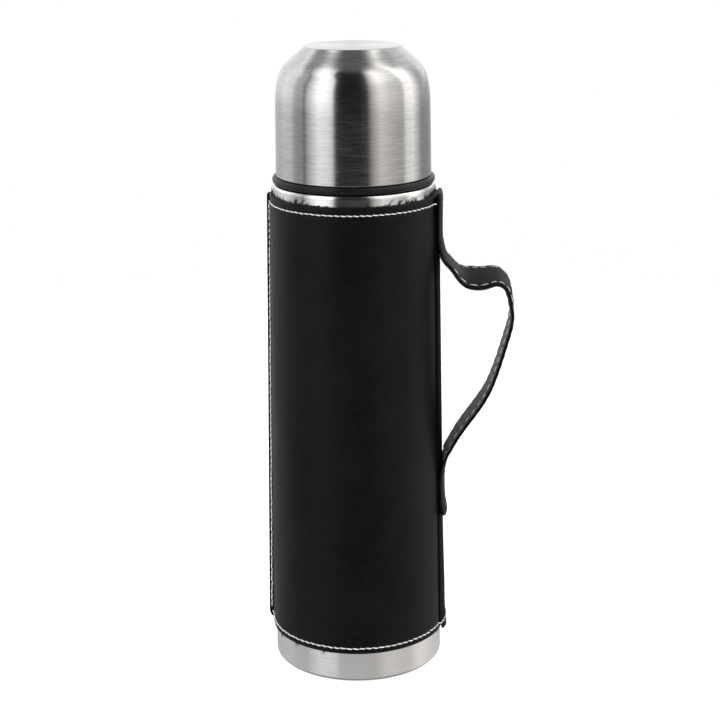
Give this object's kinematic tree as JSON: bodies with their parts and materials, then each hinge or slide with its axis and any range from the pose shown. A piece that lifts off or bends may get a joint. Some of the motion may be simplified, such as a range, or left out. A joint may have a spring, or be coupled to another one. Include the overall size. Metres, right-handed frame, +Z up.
{
  "type": "vacuum flask",
  "caption": "Insulated steel flask in a stitched leather sleeve with a strap handle, a domed screw-on cup and a push-button stopper.",
  "frame": {"origin": "centre of the flat base, on the axis of the flask", "axes": "+Z up along the flask axis; +X towards the strap handle; the front, which the reference view shows, faces -Y"},
  "size_m": [0.1171, 0.08, 0.2804],
  "materials": {
    "brushed_steel": "satin, brushed round the body",
    "plain_steel": "plain drawn steel",
    "black_plastic": "moulded, satin",
    "grey_plastic": "moulded, satin",
    "silicone": "soft, milky",
    "black_rubber": "smooth, slightly shiny",
    "glass_solder": "fused bead",
    "getter_metal": "sintered pellet",
    "black_leather": "fine grain, soft sheen",
    "dark_fleece": "brushed backing with loose fibres",
    "grey_lining": "suede-like strap lining",
    "white_thread": "twisted sewing thread"
  },
  "bodies": {
    "flask": {"outer_shell": "brushed_steel", "inner_vessel": "plain_steel", "neck_collar": "black_plastic", "base_cap": "brushed_steel", "jacket_bottom": "plain_steel", "seal_bead": "glass_solder", "getter": "getter_metal", "sleeve_lining": "dark_fleece", "sleeve_front_panel": "black_leather", "sleeve_back_panel": "black_leather", "sleeve_side_band": "black_leather", "strap_upper_end": "black_leather", "strap_lower_end": "black_leather", "top_thread_front": "white_thread", "top_thread_back": "white_thread", "bottom_thread_front": "white_thread", "bottom_thread_back": "white_thread", "seam_thread": "white_thread"},
    "cup_ring": {"cup_rim_ring": "black_rubber"},
    "cup": {"cup_shell": "brushed_steel", "cup_liner": "grey_plastic", "cup_thread_insert": "black_plastic"},
    "stopper_seal": {"stopper_gasket": "silicone"},
    "stopper": {"stopper_body": "grey_plastic", "stopper_cap": "black_plastic", "valve_spring": "plain_steel"},
    "button": {"push_button": "grey_plastic", "valve_stem": "grey_plastic", "valve_seal": "silicone", "valve_disc": "grey_plastic"},
    "handle": {"handle_strap": "black_leather", "handle_strap_lining": "grey_lining", "strap_thread_front": "white_thread", "strap_thread_back": "white_thread"}
  },
  "joints": [
    {"name": "cup_lift", "type": "slide", "parent": "flask", "child": "cup_ring", "axis": [0, 0, 1], "range_m": [0, 0.0402]},
    {"name": "cup_turn", "type": "hinge", "parent": "cup_ring", "child": "cup", "pos_m": [0, 0, 0.2169], "axis": [0, 0, 1], "range_deg": [0, 1800]},
    {"name": "stopper_lift", "type": "slide", "parent": "flask", "child": "stopper_seal", "axis": [0, 0, 1], "range_m": [0, 0.0312]},
    {"name": "stopper_turn", "type": "hinge", "parent": "stopper_seal", "child": "stopper", "pos_m": [0, 0, 0.2311], "axis": [0, 0, 1], "range_deg": [0, 1860]},
    {"name": "button_press", "type": "slide", "parent": "stopper", "child": "button", "axis": [0, 0, -1], "range_m": [0, 0.0035], "stiffness_N_per_m": 600, "springref_m": -0.004, "deforming": ["valve_spring"]},
    {"name": "handle_swing", "type": "hinge", "parent": "flask", "child": "handle", "pos_m": [0.0415, 0, 0.131], "axis": [0, 0, 1], "range_deg": [-10, 10], "stiffness_Nm_per_rad": 0.05}
  ],
  "couplings": [
    {"joint": "cup_lift", "follows": "cup_turn", "m_per_rad": 0.0012732},
    {"joint": "stopper_lift", "follows": "stopper_turn", "m_per_rad": 0.00095493}
  ]
}
